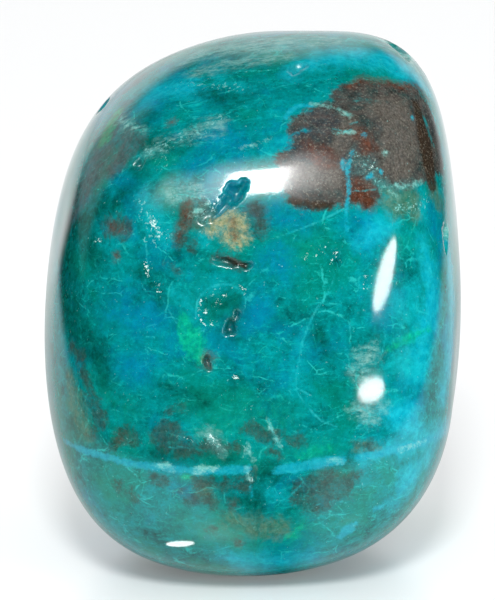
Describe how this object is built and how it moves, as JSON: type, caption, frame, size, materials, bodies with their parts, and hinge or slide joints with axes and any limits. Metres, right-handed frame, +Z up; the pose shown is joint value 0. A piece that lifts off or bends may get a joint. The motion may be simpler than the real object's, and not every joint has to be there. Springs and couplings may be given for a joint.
{
  "type": "chrysocolla specimen",
  "caption": "Tumbled and polished chrysocolla stone, a rounded upright block in mottled teal, blue and green with brown patches, small open pits and a flat to stand on.",
  "frame": {"origin": "on the small flat that the stone rests on, straight under the middle of the stone", "axes": "+Z up; -Y is the side with the brown patch and the long vug; +X is to the right when that side is faced"},
  "size_m": [0.0264, 0.0236, 0.0323],
  "materials": {
    "polished_chrysocolla": "tumble-polished, glossy, with duller pits"
  },
  "bodies": {
    "root": {"chrysocolla_stone": "polished_chrysocolla"}
  },
  "joints": []
}
